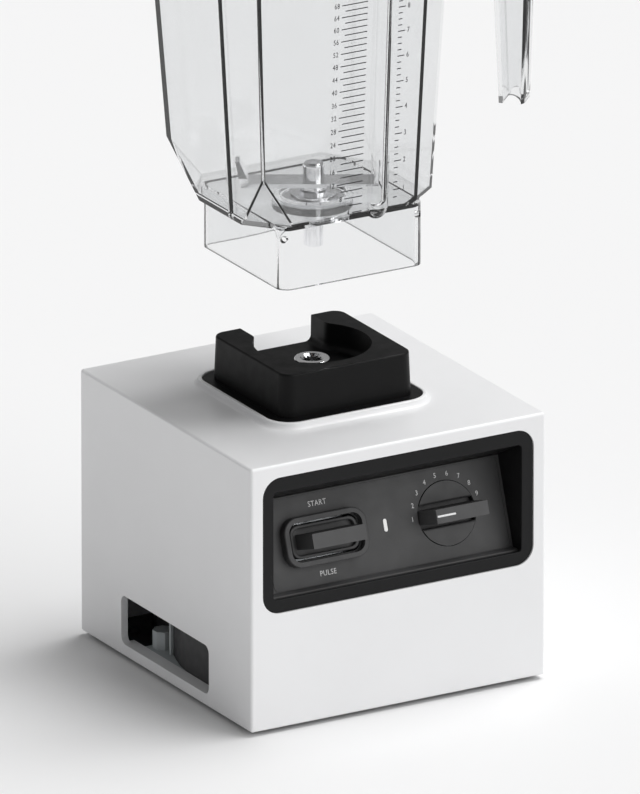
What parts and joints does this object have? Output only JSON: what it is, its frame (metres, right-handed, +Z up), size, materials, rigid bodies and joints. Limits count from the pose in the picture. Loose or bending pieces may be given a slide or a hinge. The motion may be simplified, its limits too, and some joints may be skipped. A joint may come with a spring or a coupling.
{
  "type": "countertop blender",
  "caption": "Countertop blender: white motor base with recessed dial and rocker, rubber drive socket, and a clear square-skirted jar lifted above it.",
  "frame": {"origin": "middle of the base's footprint at the plane the feet stand on", "axes": "+X to the user's right, -Y towards the user (the control panel), +Z up along the drive shaft"},
  "size_m": [0.205, 0.21, 0.508],
  "materials": {
    "white_plastic": "white painted and moulded plastic, satin gloss",
    "black_bezel": "fine-grained black plastic",
    "grey_panel": "soft-touch dark grey plastic",
    "dark_control": "soft-touch dark grey plastic, rounded edges",
    "switch_plastic": "plain black plastic",
    "light_guide": "white translucent light pipe",
    "lamp": "clear epoxy lamp",
    "duct_grey": "light grey moulded plastic",
    "black_plastic": "black moulded plastic",
    "socket_rubber": "black moulded rubber with a fine matt skin",
    "soft_rubber": "black rubber",
    "seal_silicone": "grey silicone",
    "lid_rubber": "soft black lid",
    "drive_chrome": "polished chrome",
    "blade_steel": "polished stainless steel",
    "shaft_steel": "ground steel",
    "laminated_steel": "stacked steel sheets",
    "copper": "copper",
    "winding_copper": "enamelled copper wire",
    "cast_aluminium": "cast aluminium",
    "zinc_steel": "zinc-plated steel",
    "carbon": "pressed carbon",
    "board_green": "green lacquered circuit board",
    "component_plastic": "moulded yellow box",
    "ferrite": "ferrite and lacquered wire",
    "clear_jar": "clear moulded plastic"
  },
  "bodies": {
    "base": {"base_shell": "white_plastic", "base_plate": "black_plastic", "feet": "soft_rubber", "base_screws": "zinc_steel", "air_guides": "duct_grey", "intake_walls": "black_plastic", "control_bezel": "black_bezel", "control_panel": "grey_panel", "control_overlay": "grey_panel", "panel_screws": "zinc_steel", "rocker_ring": "dark_control", "rocker_pin": "shaft_steel", "rocker_switch": "switch_plastic", "speed_sensor": "zinc_steel", "sensor_nut": "zinc_steel", "control_bracket": "zinc_steel", "indicator_lens": "light_guide", "indicator_led": "lamp", "jar_socket": "socket_rubber", "stator": "laminated_steel", "field_coils": "winding_copper", "lower_bracket": "cast_aluminium", "upper_bracket": "cast_aluminium", "motor_bearings": "shaft_steel", "through_bolts": "zinc_steel", "stator_spacers": "zinc_steel", "motor_mounts": "soft_rubber", "brush_holders": "switch_plastic", "carbon_brushes": "carbon", "brush_springs": "shaft_steel", "air_baffle": "black_plastic", "control_board": "board_green", "board_pillars": "zinc_steel", "heat_sink": "cast_aluminium", "power_chip": "switch_plastic", "capacitor": "component_plastic", "choke": "ferrite", "terminal_block": "switch_plastic", "cord_gland": "black_plastic", "gland_nut": "black_plastic"},
    "motor_rotor": {"drive_coupling": "drive_chrome", "rotor_shaft": "shaft_steel", "armature": "laminated_steel", "armature_windings": "winding_copper", "commutator": "copper", "cooling_fan": "black_plastic"},
    "jar": {"jar_shell": "clear_jar", "jar_handle": "clear_jar", "bearing_housing": "blade_steel", "blade_bearing": "copper", "shaft_seal": "soft_rubber", "housing_nut": "blade_steel"},
    "blade_set": {"blade_shaft": "blade_steel", "blade": "blade_steel", "blade_nut": "blade_steel"},
    "lid": {"jar_lid": "lid_rubber", "lid_seal": "seal_silicone"},
    "cap": {"filler_cap": "black_plastic"},
    "dial": {"speed_dial": "dark_control"},
    "rocker_body": {"rocker": "dark_control"}
  },
  "joints": [
    {"name": "motor_spin", "type": "hinge", "parent": "base", "child": "motor_rotor", "pos_m": [0, 0, 0.15], "axis": [0, 0, 1], "continuous": true},
    {"name": "jar_lift", "type": "slide", "parent": "base", "child": "jar", "axis": [0, 0, 1], "range_m": [-0.0841, 0]},
    {"name": "blade_spin", "type": "hinge", "parent": "jar", "child": "blade_set", "pos_m": [0, 0, 0.3], "axis": [0, 0, 1], "continuous": true},
    {"name": "lid_lift", "type": "slide", "parent": "jar", "child": "lid", "axis": [0, 0, 1], "range_m": [0, 0.06]},
    {"name": "cap_lift", "type": "slide", "parent": "lid", "child": "cap", "axis": [0, 0, 1], "range_m": [0, 0.035]},
    {"name": "dial_turn", "type": "hinge", "parent": "base", "child": "dial", "pos_m": [0.0462, -0.08256, 0.11034], "axis": [0, 0.9455, -0.3256], "range_deg": [0, 160]},
    {"name": "rocker_tip", "type": "hinge", "parent": "base", "child": "rocker_body", "pos_m": [-0.0405, -0.07878, 0.10904], "axis": [1, 0, 0], "range_deg": [-10, 10], "stiffness_Nm_per_rad": 0.6}
  ],
  "couplings": [
    {"joint": "blade_spin", "follows": "motor_spin", "ratio": 1}
  ]
}
